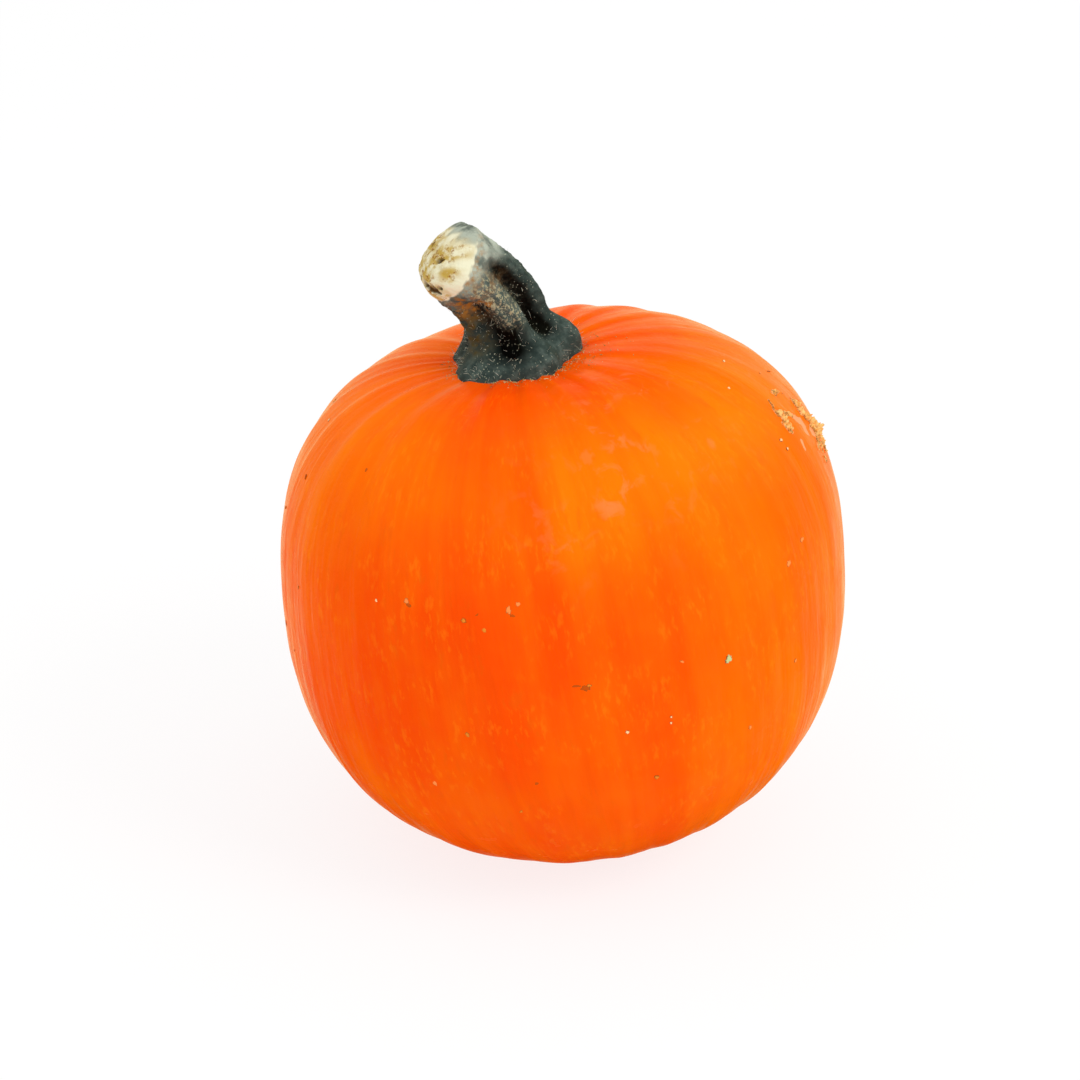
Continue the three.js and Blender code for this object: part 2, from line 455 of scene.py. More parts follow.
# The black of painted shade in the stem's grooves and hollows.
BARK_BLACK_AND_SHADE = (0.0015, 0.0022, 0.0013)
BARK_GREY = (0.085, 0.118, 0.10)
POWDER = (0.40, 0.37, 0.22)
TIP_GREY_AND_LIGHT = (0.42, 0.46, 0.37)
DUST = (0.45, 0.47, 0.34)
RUST = (0.36, 0.15, 0.018)
OLIVE = (0.075, 0.055, 0.012)
CUT_CREAM = (0.80, 0.77, 0.55)
CUT_YELLOW = (0.52, 0.35, 0.07)
CUT_RUST = (0.30, 0.12, 0.015)
CUT_PIT = (0.085, 0.035, 0.006)


def stem_material():
    """Dry dark bark, powdery on the front crest and rusty below the cut, with a pale cut end. Its
    grooves and hollows are blackened with painted shade, and its tip is greyed partly with painted
    light.
    """
    tree = Tree(bpy.data.materials.new("pumpkin_stem"))
    here = tree.coordinates()
    powder, pith = tree.attribute("powder"), tree.attribute("pith")
    mottle = tree.noise(here, 420, detail=5, roughness=0.65)
    patch = tree.noise(here, 240, detail=4, roughness=0.6)
    grit = tree.noise(here, 1900, detail=3, roughness=0.7)
    scales = tree.noise(here, 1350, detail=4, roughness=0.7)
    bark = tree.mix(tree.ramp(mottle, 0.38, 0.72), BARK_DARK, BARK_GREY)
    tinged = tree.times(tree.attribute("olive"), tree.ramp(mottle, 0.35, 0.6))
    bark = tree.mix(tinged, bark, OLIVE)
    # The tip's grey is partly the dry bark's own and partly painted light from above and the right.
    greyed_and_lit = tree.times(tree.attribute("tip"), tree.ramp(patch, 0.36, 0.56, 0.25, 1))
    bark = tree.mix(greyed_and_lit, bark, TIP_GREY_AND_LIGHT)
    # Painted shade: black in the grooves and hollows.
    bark = tree.mix(tree.attribute("hollow_shade"), bark, BARK_BLACK_AND_SHADE)
    rusty = tree.times(tree.attribute("rust"), tree.ramp(mottle, 0.42, 0.58))
    bark = tree.mix(rusty, bark, RUST)
    greyer = tree.times(powder, tree.ramp(patch, 0.34, 0.55, 0.2, 0.8))
    bark = tree.mix(greyer, bark, BARK_GREY)
    flecks = tree.ramp(scales, 0.5, 0.58)
    dusty = tree.times(powder, flecks)
    bark = tree.mix(dusty, bark, POWDER)
    specks = tree.ramp(tree.cells(here, 1500), 0.1, 0.26, 1, 0)
    sprinkled = tree.times(specks, tree.ramp(patch, 0.42, 0.62, 0.0, 0.75))
    bark = tree.mix(sprinkled, bark, DUST)
    mottling = tree.ramp(tree.noise(here, 430, detail=4, roughness=0.65), 0.36, 0.56, 0.15, 1)
    pulp = tree.mix(tree.times(mottling, pith), CUT_CREAM, CUT_YELLOW)
    stains = tree.ramp(tree.noise(here, 700, detail=4, roughness=0.7), 0.54, 0.64)
    pulp = tree.mix(tree.times(stains, pith), pulp, CUT_RUST)
    pulp = tree.mix(tree.attribute("pit"), pulp, CUT_PIT)
    colour = tree.mix(tree.attribute("cut"), bark, pulp)
    normal = tree.bump(mottle, 0.0006, 0.5)
    normal = tree.bump(scales, 0.0003, tree.times(powder, 0.8), normal)
    normal = tree.bump(grit, 0.0002, 0.55, normal)
    roughness = tree.ramp(mottle, 0.3, 0.7, 0.62, 0.85)
    return tree.finish(colour, roughness, normal, Specular_IOR_Level=BARK_SPECULAR)


def straw_material(name, dark, pale):
    """Dry hairs and crumbs, paler and darker in turn."""
    tree = Tree(bpy.data.materials.new(name))
    here = tree.coordinates()
    shade = tree.noise(here, 700, detail=2)
    colour = tree.mix(tree.ramp(shade, 0.35, 0.65), dark, pale)
    return tree.finish(colour, tree.ramp(shade, 0.3, 0.7, 0.5, 0.7), tree.bump(shade, 0.00002, 0.3))


# ---- the fruit ----


def warmth_and_light_field(angle, longitude):
    """0 where the skin is a deep red-orange, 1 where it is a yellow-orange: partly the rind's own
    uneven tone, partly painted light, yellower high up and on the right where the light falls.
    """
    down = np.degrees(angle)
    round_ = np.degrees(turn_between(longitude, 0.0))
    middle = 0.08 + 0.36 * hump(down - 49, 15) + 0.16 * smoothstep(down, 92, 116)
    front_step = (0.08 + 0.42 * hump(down - 53, 17)) * smoothstep(round_, 0, 11)
    right = 0.42 * smoothstep(round_, 14, 50) * smoothstep(down, 56, 80)
    left = 0.34 * smoothstep(-round_, 15, 42) * hump(down - 34, 16) + 0.14 * smoothstep(-round_, 34, 56)
    behind = smoothstep(np.abs(round_), 85, 165)
    back = 0.30 + 0.16 * np.cos(np.radians(3 * round_ + 50)) - 0.14 * hump(down - 80, 25)
    return np.clip(lerp(middle + front_step + right + left, back, behind), 0, 1)


def painted_highlight_field(angle, longitude):
    """Where patches of pinkish painted highlight lie on the skin, high on the right."""
    down = np.degrees(angle)
    round_ = np.degrees(turn_between(longitude, 0.0))
    high = hump(down - 40, 13) * hump(round_ - 50, 32)
    lower = 0.8 * hump(down - 55, 9) * hump(round_ - 18, 16)
    return np.clip(np.maximum(high, lower), 0, 1)


LUMP_HEIGHT = 0.16
SMALL_LUMP_HEIGHT = 0.08
STRAND_HEIGHT = 0.045
STRANDS_PER_RIB = 3.5
# Low on the fruit the ribs lose up to this share of their depth, more and more between these
# two angles, in radians.
LOW_RIB_LOSS = 0.5
LOW_RIB_ANGLES = (1.9, 2.6)
# The smaller these are, the longer the skin's grain and streaks are drawn out along the ribs.
GRAIN_STRETCH = 0.45
STREAK_STRETCH = 0.12


def make_fruit():
    share = np.arange(1, FRUIT_RINGS) / FRUIT_RINGS
    angle = math.pi * share - RING_CROWDING / 2 * np.sin(2 * math.pi * share)
    angle = angle[::-1, None]
    longitude = np.linspace(0, 2 * math.pi, FRUIT_LONGITUDES, endpoint=False)[None, :]
    base = fruit_point(angle, longitude)
    lumps = LUMP_HEIGHT * soft_noise(base, 17) + SMALL_LUMP_HEIGHT * soft_noise(base, 7, 1)
    from_pole = np.minimum(angle, math.pi - angle)
    away, apart = smoothstep(from_pole, 0, 0.35), smoothstep(from_pole, 0.3, 1.2)
    wander = 3 * soft_noise(base, 30, 2)
    strands = STRAND_HEIGHT * np.sin(STRANDS_PER_RIB * RIB_COUNT * rib_turn(longitude) + wander)
    softened = LOW_RIB_LOSS * rib_depth(angle) * furrow(longitude) * smoothstep(angle, *LOW_RIB_ANGLES)
    rings = fruit_point(angle, longitude, lumps * away + strands * apart + softened)
    ends = [fruit_point(math.pi, 0.0), fruit_point(0.0, 0.0)]
    rings[..., 2] = FLOOR_LEVEL + soft_floor(rings[..., 2] - FLOOR_LEVEL)
    mesh = skin("fruit", rings, *ends)
    full_angle, full_longitude = np.broadcast_arrays(angle, longitude)
    angles = np.append(full_angle.ravel(), [math.pi, 0])
    longitudes = np.append(full_longitude.ravel(), [0, 0])
    add_attribute(mesh, "warmth_and_light", warmth_and_light_field(angles, longitudes))
    add_attribute(mesh, "painted_highlight", painted_highlight_field(angles, longitudes))
    add_attribute(mesh, "lined", lerp(0.2, 1, smoothstep(angles, 0.4, 1.3)))
    across = np.stack([np.cos(longitudes), np.sin(longitudes)], 1) * BODY_RADIUS
    along = angles[:, None] * BODY_RADIUS
    add_attribute(mesh, "grain", np.hstack([across, along * GRAIN_STRETCH]), "FLOAT_VECTOR")
    add_attribute(mesh, "streak", np.hstack([across, along * STREAK_STRETCH]), "FLOAT_VECTOR")
    return mesh


def soft_floor(height, softness=0.25):
    """Heights above the floor, with those below it pressed flat and a slightly rounded edge."""
    return 0.5 * (height + np.sqrt(height * height + softness * softness))


# ---- the stem ----


def centre_line(samples=1200):
    """Points along the centripetal Catmull-Rom curve through the stem's path, evenly spaced."""
    knots = np.array(STEM_PATH, float)
    padded = np.vstack([2 * knots[0] - knots[1], knots, 2 * knots[-1] - knots[-2]])
    pieces = []
    for k in range(len(knots) - 1):
        p0, p1, p2, p3 = padded[k : k + 4]
        pairs = ((p0, p1), (p1, p2), (p2, p3))
        d0, d1, d2 = (max(np.linalg.norm(b - a) ** 0.5, 1e-6) for a, b in pairs)
        m1 = ((p1 - p0) / d0 - (p2 - p0) / (d0 + d1) + (p2 - p1) / d1) * d1
        m2 = ((p2 - p1) / d1 - (p3 - p1) / (d1 + d2) + (p3 - p2) / d2) * d1
        t = np.linspace(0, 1, 200)[:, None]
        cubic = (2 * t**3 - 3 * t**2 + 1) * p1 + (t**3 - 2 * t**2 + t) * m1
        pieces.append(cubic + (-2 * t**3 + 3 * t**2) * p2 + (t**3 - t**2) * m2)
    line = np.vstack(pieces)
    lengths = np.append(0, np.cumsum(np.linalg.norm(np.diff(line, axis=0), axis=1)))
    even = np.linspace(0, lengths[-1], samples)
    points = np.stack([np.interp(even, lengths, line[:, axis]) for axis in range(3)], 1)
    return even - np.linalg.norm(knots[0]), points + fruit_point(0.0, 0.0)


def crest_radius(distance, length):
    flare = (FOOT_RADIUS - WAIST_RADIUS) * np.exp(-((np.maximum(distance, 0) / FOOT_HEIGHT) ** 3))
    narrowing = (WAIST_RADIUS - NECK_RADIUS) * smoothstep(distance, 0.25 * length, 0.6 * length)
    lip = (CUT_RADIUS - NECK_RADIUS) * smoothstep(distance, 0.75 * length, 0.95 * length)
    return WAIST_RADIUS + flare - narrowing + lip


def groove_share(distance, length):
    risen = lerp(RIDGE_DEPTH_FOOT, RIDGE_DEPTH_COLUMN, smoothstep(distance, 0, 0.35 * length))
    return lerp(risen, RIDGE_DEPTH_CUT, smoothstep(distance, 0.5 * length, 0.76 * length))


def ridge_wave(around):
    """0 on the stem's five crests, about 1 in the hollows between them. The crests are round and the
    hollows sharp, and the one at the front right is the deepest."""
    turned = around - math.radians(FIRST_RIDGE_ANGLE)
    wave = (0.5 - 0.5 * np.cos(STEM_RIDGES * turned)) ** 1.5
    return wave * (1.25 + 0.45 * hump(turn_between(around, math.radians(-29)), 0.5))


def stem_lattice():
    """The stem's smooth side from inside the fruit to past the cut: points, outward directions and
    distances up the centre line, as arrays of rows by columns."""
    distance, centres = centre_line()
    length = distance[-1]
    tangents = unit(np.gradient(centres, axis=0))
    right = unit(np.array([1.0, 0, 0]) - tangents * tangents[:, :1])
    back = np.cross(tangents, right)
    around = np.linspace(0, 2 * math.pi, STEM_COLUMNS, endpoint=False)[None, :]
    rows = distance[:, None]
    folds = 0.009 * np.sin(13 * around + 1.0) + 0.005 * np.sin(29 * around)
    folds = folds * hump(rows - 6, 6)
    ridgelets = 0.022 * np.sin(23 * around + 0.4)
    ridgelets = ridgelets * smoothstep(rows, 5, 10) * (1 - smoothstep(rows, 20, 26))
    toes = 0.1 * hump(turn_between(around, math.radians(-132)), 0.4)
    toes = toes - 0.06 * hump(turn_between(around, math.radians(-12)), 0.7)
    toes = toes * smoothstep(-rows, -6, 0)
    radius = crest_radius(rows, length) * (1 - groove_share(rows, length) * ridge_wave(around))
    radius = radius * (1 + folds + ridgelets + toes)
    outward = np.cos(around)[..., None] * right[:, None] + np.sin(around)[..., None] * back[:, None]
    return centres[:, None] + radius[..., None] * outward, outward, rows + 0 * around, around


def crossing(signed, rising=True):
    """For each column, the row number, with a fraction, where the signed values change sign."""
    inside = signed < 0 if rising else signed > 0
    row = np.argmax(~inside, axis=0)
    row = np.clip(row, 1, len(signed) - 1)
    column = np.arange(signed.shape[1])
    before, after = signed[row - 1, column], signed[row, column]
    return row - 1 + before / (before - after)


def sample_rows(values, rows):
    """Values at fractional row numbers, column by column."""
    low = np.clip(rows.astype(int), 0, len(values) - 2)
    share = rows - low
    column = np.arange(values.shape[1])[None, :]
    share = share[..., None] if values.ndim == 3 else share
    return values[low, column] * (1 - share) + values[low + 1, column] * share


STEM_LENGTH = centre_line()[0][-1]
# The cut end's rounded edge, its dome, the way the dome leans and how deep the pits in it are.
CUT_ROUNDING = 0.7
CUT_DOME = 5.2
CUT_DOME_LEAN = [-0.9, -0.35, 0.0]
PIT_DEPTH = 1.1
# How far below the skin the foot begins.
FOOT_BURIED = 0.35
# The bark bends over the top edge of the cut end, this way and this far from its middle.
BARK_LIP_SIDE = [0.78, 0.28, 0.5]
BARK_LIP_REACH = (4.9, 5.9)


def make_stem():
    points, outward, distance, around = stem_lattice()
    normal = unit(STEM_CUT_NORMAL)
    cut_point = fruit_point(0.0, 0.0) + np.array(STEM_CUT_POINT)
    past_cut = (points - cut_point) @ normal + CUT_ROUNDING
    angle, longitude = fruit_angles(points)
    above_rind = np.linalg.norm(points, axis=-1) - fruit_radius(angle, longitude) + FOOT_BURIED
    first, last = crossing(above_rind), crossing(past_cut)
    share = np.linspace(0, 1, STEM_ROWS)[:, None]
    rows = lerp(first[None, :], last[None, :], share)
    side, out = sample_rows(points, rows), sample_rows(outward, rows)
    up = sample_rows(distance, rows)
    to_cut = -sample_rows(past_cut, rows)
    rough = 0.34 * soft_noise(side, 4.5, 3) + 0.16 * soft_noise(side, 1.7, 4)
    scaly = 0.34 * np.abs(soft_noise(side, 1.1, 5)) * smoothstep(up, 9, 16)
    rough = rough * smoothstep(up, -2, 6) + scaly
    near_cut = 1 - smoothstep(to_cut, 0, 1.6)
    side = side + out * (rough * (1 - 0.6 * near_cut) - 0.3 * near_cut**2)[..., None]
    rim = side[-1]
    centre = rim.mean(axis=0)
    inward = np.linspace(1, 0, CUT_RINGS + 1)[1:-1, None]
    spokes = rim - centre
    round_spokes = spokes / np.linalg.norm(spokes, axis=1, keepdims=True)
    round_spokes = round_spokes * np.linalg.norm(spokes, axis=1).mean()
    roundness = smoothstep(1 - inward, 0, 0.5)[..., None]
    cap = centre + lerp(spokes[None], round_spokes[None], roundness) * inward[..., None]
    rounding = CUT_ROUNDING * (1 - inward**9)
    dome = CUT_DOME * (1 - inward**2.4)
    ripple = 0.5 * soft_noise(cap, 4.0, 6) + 0.26 * soft_noise(cap, 1.5, 7)
    ripple = ripple + 0.12 * soft_noise(cap, 0.6, 18)
    cap_across = cap - centre
    pits = cut_marks(cap_across, normal, PITS, 0.9, 0.3, 1.1)
    blotches = cut_marks(cap_across, normal, BLOTCHES, 1.4, 0.2, 1.4)
    lip = cap_across @ unit(BARK_LIP_SIDE) + 0.9 * soft_noise(cap, 1.7, 19)
    lip = smoothstep(lip, *BARK_LIP_REACH) * (1 - pits)
    cap = cap + normal * (rounding + ripple * (1 - inward**6) - PIT_DEPTH * pits)[..., None]
    cap = cap + unit(CUT_DOME_LEAN) * dome[..., None]
    end = cap[-1].mean(axis=0)
    mesh = skin("stem", np.concatenate([side, cap]), None, end)
    colour_stem(mesh, side, lip, up, around, to_cut, blotches, pits)
    return mesh


# Marks in the cut end: how far sideways and up they lie from its middle, and their size.
PITS = [
    (0.6, -4.5, 1.2),
    (2.7, -5.1, 1.4),
    (1.7, -4.9, 0.9),
    (-1.3, -3.4, 0.7),
    (4.3, -4.2, 0.6),
    (-2.8, 3.4, 0.6),
    (3.0, 1.6, 0.8),
    (-4.6, -1.4, 0.6),
]
BLOTCHES = [
    (2.6, 2.2, 3.6),
    (-3.0, -2.0, 4.2),
    (-2.6, 3.2, 3.6),
    (-4.4, -6.0, 3.0),
    (5.6, -0.8, 2.0),
    (2.2, -5.6, 3.6),
    (1.0, -1.6, 3.4),
]


def cut_marks(across, normal, marks, ragged_size, low, high):
    """How strongly each point of the cut end shows one of the marks, from 0 to 1."""
    right = unit(np.cross([0, 0, 1], normal))
    up = np.cross(normal, right)
    x, y = across @ right, across @ up
    ragged = 0.45 * soft_noise(across, ragged_size, 8)
    strength = np.zeros(x.shape)
    for mark_x, mark_y, size in marks:
        reach = np.hypot(x - mark_x, y - mark_y) / size
        strength = np.maximum(strength, 1 - smoothstep(reach + ragged, low, high))
    return strength


def colour_stem(mesh, side, lip, up, around, to_cut, blotches, pits):
    """Where the stem's bark is olive, powdery, rusty or grey, where painted shade blackens its grooves
    and hollows, where painted light partly greys its tip, and where the cut shows.
    """
    top = up / STEM_LENGTH

    def near(degrees, width):
        return hump(turn_between(around, math.radians(degrees)), math.radians(width))

    def between(low_start, low_end, high_start, high_end):
        return smoothstep(top, low_start, low_end) * (1 - smoothstep(top, high_start, high_end))

    patchy = soft_noise(side, 3.0, 9)
    fine = soft_noise(side, 1.0, 10)
    wave = np.clip(ridge_wave(around) + 0 * up, 0, 1)
    rust = near(-88, 38) * hump(top - 0.625, 0.11) * (1.5 + 0.9 * fine)
    rust = np.maximum(rust, near(-60, 60) * hump(to_cut - 0.9, 1.1) * (0.7 + 0.6 * fine))
    powder = near(-62, 23) * between(0.3, 0.42, 0.68, 0.78)
    olive = near(-132, 34) * between(0.14, 0.28, 0.5, 0.66) * (0.9 + 0.8 * fine)
    # Painted shade: black in the front groove, the left hollow and the grooves on the far side, over
    # the bark's own dark colour.
    front_groove_shade = near(-23, 13) * between(0.1, 0.2, 0.6, 0.74)
    left_hollow_shade = near(-86, 23) * between(0.08, 0.2, 0.52, 0.62)
    shaded_side = smoothstep(-np.cos(around + 1.0), -0.4, 0.3)
    far_grooves_shade = 0.7 * wave**2 * between(0.1, 0.25, 0.6, 0.8) * shaded_side
    hollow_shade = np.maximum(np.maximum(front_groove_shade, left_hollow_shade), far_grooves_shade) * (1.5 + 0.45 * patchy)
    # Greyer towards the tip and most on the right: partly the dry tip's own grey, partly painted light
    # from above and the right.
    lit_side = 0.3 + 0.7 * smoothstep(np.cos(around - 0.1), -0.3, 0.6)
    tip = smoothstep(top + 0.1 * patchy, 0.57, 0.74) * lit_side
    cut = (1 - smoothstep(to_cut + 0.45 * fine, -0.2, 0.3)) * (1 - lip[0])
    blank = np.zeros(lip.shape)
    # Each layer's values on the side, on the cut end and at the cut end's middle.
    layers = {
        "rust": (rust, blank, 0),
        "powder": (powder, blank, 0),
        "tip": (tip, lip, 0),
        "olive": (olive, blank, 0),
        "hollow_shade": (hollow_shade, blank, 0),
        "cut": (cut, 1 - lip, 1),
        "pith": (0 * cut, blotches, 1),
        "pit": (0 * cut, pits, 0),
    }
    for name, (on_side, on_cap, at_end) in layers.items():
        values = np.concatenate([on_side.ravel(), np.asarray(on_cap).ravel(), [at_end]])
        add_attribute(mesh, name, np.clip(values, 0, 1))


# ---- spots and scars on the skin ----

CORK_TAN = (0.95, 0.60, 0.21)
CORK_BRIGHT = (0.90, 0.30, 0.04)
HEALED_SKIN = (0.98, 0.35, 0.15)
DOT_WHITE = (0.98, 0.62, 0.30)
DOT_GREEN = (0.55, 0.60, 0.27)
DOT_PALE = (0.97, 0.27, 0.06)
DOT_OLIVE = (0.80, 0.24, 0.02)
DOT_DARK = (0.55, 0.08, 0.002)

# Each spot: its angle from the stem's axis and its longitude, in degrees, then its length and
# width, its turn in degrees, its height and its colour.
SPOTS = [
    (53, 93.5, 0.5, 2.2, 35, 0.2, CORK_EDGE),
    (50.5, 87.5, 0.5, 0.8, 0, 0.2, DOT_PALE),
    (46, 70, 0.6, 0.6, 0, 0.15, DOT_WHITE),
    (43, 83, 0.6, 0.9, 0, 0.15, DOT_WHITE),
    (59.5, 68.5, 0.8, 0.8, 0, 0.25, DOT_WHITE),
    (61.5, 68.5, 0.6, 0.7, 0, 0.2, DOT_WHITE),
    (90.2, 34.4, 1.8, 1.5, 60, 0.35, DOT_GREEN),
    (86.6, 5.3, 1.5, 1.6, 20, 0.12, DOT_DARK),
    (86.2, 6.0, 0.6, 1.0, 10, 0.22, DOT_OLIVE),
    (85.9, 3.6, 0.5, 1.4, 5, 0.04, DOT_DARK),
    # The flat dark spots set just below pale ones are painted shadow under them.
    (69.2, -6.6, 1.7, 1.0, 10, 0.16, DOT_PALE),
    (70.3, -6, 0.6, 1.2, 20, 0.05, DOT_DARK),
    (68.3, -4.6, 1.0, 0.8, 30, 0.14, DOT_PALE),
    (67, -28.5, 1.2, 1.0, 0, 0.14, DOT_PALE),
    (67.8, -28, 0.7, 1.1, 0, 0.05, DOT_DARK),
    (67.5, -36, 0.6, 0.6, 0, 0.14, DOT_WHITE),
    (69.5, -13, 0.9, 0.4, 60, 0.06, DOT_DARK),
    (70.5, -16, 0.8, 1.1, 0, 0.1, DOT_OLIVE),
    (72.5, -12, 0.9, 1.0, 0, 0.14, DOT_OLIVE),
    (44, -47.5, 1.0, 0.7, 0, 0.12, DOT_DARK),
    (94, -19.5, 1.1, 0.9, 0, 0.14, DOT_OLIVE),
    (98, 11.5, 0.7, 0.8, 0, 0.14, DOT_WHITE),
    (97.5, 20.5, 0.5, 0.5, 0, 0.1, DOT_WHITE),
    (98.8, 20.3, 0.5, 0.5, 0, 0.1, DOT_WHITE),
    (86.7, 24.5, 0.5, 1.0, 30, 0.1, DOT_PALE),
    (107.5, 38, 1.1, 0.7, 0, 0.16, DOT_PALE),
    (110.7, 16, 0.9, 1.0, 0, 0.16, DOT_OLIVE),
    (76.5, 59.5, 1.0, 1.3, 0, 0.2, DOT_PALE),
    (78.6, 53.5, 1.3, 1.3, 0, 0.14, DOT_PALE),
    (99, 52, 0.8, 0.7, 0, 0.14, DOT_PALE),
    (106, -8, 0.7, 0.8, 0, 0.1, DOT_DARK),
    (113, -13, 0.8, 0.6, 40, 0.1, DOT_OLIVE),
    (106, -30, 1.4, 1.2, 0, 0.1, DOT_PALE),
    (105, 54, 0.7, 0.6, 0, 0.12, DOT_PALE),
]

MORE_SPOTS = 46
MORE_SPOT_SIZES = (0.5, 1.3)
MORE_SPOT_ANGLES = (38, 125)
MORE_SPOT_LONGITUDES = (95, 300)
MORE_SPOT_HEIGHT = 0.13


def spot(angle, longitude, length, width, turn, height, rng):
    """One small ragged mound whose edge dips under the skin. Gives rings, from its edge inwards,
    with its middle point and how pale each point is, from 0 to 1. The darker rim is partly painted
    shade."""
    around = np.linspace(0, 2 * math.pi, 26, endpoint=False)[None, :]
    inward = np.array([1.12, 1.0, 0.9, 0.78, 0.62, 0.45, 0.28, 0.13])[:, None]
    waves = sum(
        rng.uniform(0.05, 0.17) * np.sin(k * around + rng.uniform(0, 2 * math.pi)) for k in (2, 3, 5, 8)
    )
    reach = inward * (1 + waves)
    x, y = reach * width / 2 * np.cos(around), reach * length / 2 * np.sin(around)
    cos, sin = math.cos(math.radians(turn)), math.sin(math.radians(turn))
    east, south = x * cos - y * sin, x * sin + y * cos
    radius = float(fruit_radius(np.array(angle), np.array(longitude)))
    angles = angle + south / radius
    longitudes = longitude + east / (radius * max(math.sin(angle), 0.2))
    middle = fruit_point(angle, longitude, height)
    rise = smoothstep(1 - inward, -0.08, 0.25) * (0.75 + 0.25 * smoothstep(1 - inward, 0, 1))
    local = fruit_point(angles, longitudes)
    ragged = 0.3 * soft_noise(local, 0.8, rng.uniform(0, 9))
    lift = height * (rise + ragged * rise) - 0.12 * (1 - smoothstep(1 - inward, -0.12, 0.0))
    # Pale in the middle and darker at the rim: the rim is partly painted shade.
    shade = smoothstep(1 - inward + 0.4 * ragged, -0.05, 0.45) + 0 * around
    return fruit_point(angles, longitudes, lift), middle, shade


def join_skins(name, parts):
    """One mesh from several (rings, end point, layers), where each is skinned by itself."""
    points, faces, layers = [], [], {}
    start = 0
    for rings, end, values in parts:
        count, around = rings.shape[:2]
        last = start + count * around
        faces += ring_quads(start, count, around) + fan(last, last - around, around)
        faces.append(list(range(start + around - 1, start - 1, -1)))
        points += [rings.reshape(-1, 3), [end]]
        for key, value in values.items():
            layers.setdefault(key, []).append(value)
        start = last + 1
    mesh = smooth_mesh(name, np.concatenate(points), faces)
    for key, values in layers.items():
        values = np.concatenate(values)
        add_attribute(mesh, key, values, "FLOAT" if values.ndim == 1 else "FLOAT_VECTOR")
    return mesh


def more_spots(rng):
    """A sprinkling of like spots round the sides and the back."""
    spots = []
    for _ in range(MORE_SPOTS):
        size = rng.uniform(*MORE_SPOT_SIZES)
        tint = (DOT_WHITE, DOT_PALE, DOT_OLIVE, DOT_DARK)[rng.integers(4)]
        place_on = (rng.uniform(*MORE_SPOT_ANGLES), rng.uniform(*MORE_SPOT_LONGITUDES))
        width, turn = size * rng.uniform(0.5, 1.2), rng.uniform(0, 180)
        spots.append((*place_on, size, width, turn, MORE_SPOT_HEIGHT, tint))
    return spots


def make_spots():
    rng = np.random.default_rng(SEED)
    parts = []
    for angle, longitude, length, width, turn, height, tint in SPOTS + more_spots(rng):
        place_on = (math.radians(angle), math.radians(longitude))
        rings, middle, shade = spot(*place_on, length, width, turn, height, rng)
        top = np.append(shade.ravel(), 1)
        parts.append((rings, middle, {"top": top, "tint": np.tile(tint, (len(top), 1))}))
    return join_skins("skin_spots", parts)


# Each stroke of the corky scar: its line of (angle, longitude), widths at its two ends, and height.
SCAR_STROKES = [
    ([(53.8, 81.6), (54.6, 84.2)], 1.3, 1.0, 0.45),
    ([(55.8, 85.4), (56, 85.8)], 0.5, 0.4, 0.25),
    ([(53.5, 76.5), (55, 75), (56.5, 74.3)], 0.6, 1.1, 0.4),
    ([(56, 75), (57.5, 75.8), (58.5, 74.8)], 1.7, 3.0, 0.6),
    ([(58, 75), (60.4, 73.8)], 1.8, 0.6, 0.45),
    ([(57.5, 77.5), (58.9, 79.3)], 1.5, 0.7, 0.4),
    ([(59.4, 87.2), (60.2, 88.6)], 2.0, 1.5, 0.7),
    ([(61, 86), (62, 87), (62.8, 87.8)], 1.7, 1.5, 0.7),
    ([(62.5, 86.5), (65.2, 89), (68, 91.5)], 1.5, 2.3, 1.0),
    ([(64.5, 86), (67, 88), (69.5, 89.5)], 1.1, 1.9, 0.7),
    ([(66, 87), (67, 84.5), (67.8, 82.3)], 1.3, 0.8, 0.45),
    ([(68.5, 89), (70.8, 87.3)], 1.4, 0.6, 0.5),
    ([(67.5, 85.5), (69.5, 84.5)], 1.0, 0.6, 0.4),
    ([(70.5, 84), (71.3, 83.6)], 0.8, 0.5, 0.35),
]
# The smooth healed skin between the strokes.
SCAR_PATCHES = [
    ([(59.6, 80), (62, 82), (63.4, 80.6)], 2.6, 3.0, 0.14),
    ([(65, 84.5), (66.5, 86)], 2.2, 1.6, 0.14),
    ([(63.2, 75.4), (64.6, 74.6)], 1.4, 0.7, 0.1),
]
# The patch of skin the scar is cut from, in angle and longitude, its mesh spacing, how far its
# bare parts are sunk below the skin, and the height below which its faces are left out.
SCAR_SPAN = ((51, 73), (69, 97))
SCAR_STEP = 0.16
SCAR_SUNK = 0.09
SCAR_KEPT_ABOVE = -0.07


def stroke_height(x, y, strokes, scale, ragged):
    """How high the strokes stand at points given in millimetres east and south on the skin."""
    height = np.zeros(x.shape)
    for line, start_width, end_width, rise in strokes:
        knots = np.radians(np.array(line, float)) * scale
        for k in range(len(knots) - 1):
            (south, east), (south_2, east_2) = knots[k], knots[k + 1]
            run_x, run_y = east_2 - east, south_2 - south
            along = np.clip(((x - east) * run_x + (y - south) * run_y) / (run_x**2 + run_y**2), 0, 1)
            off = np.hypot(x - east - along * run_x, y - south - along * run_y)
            half = lerp(start_width, end_width, (k + along) / (len(knots) - 1)) / 2
            height = np.maximum(height, rise * (1 - smoothstep(off / half + ragged, 0.55, 1.15)))
    return height


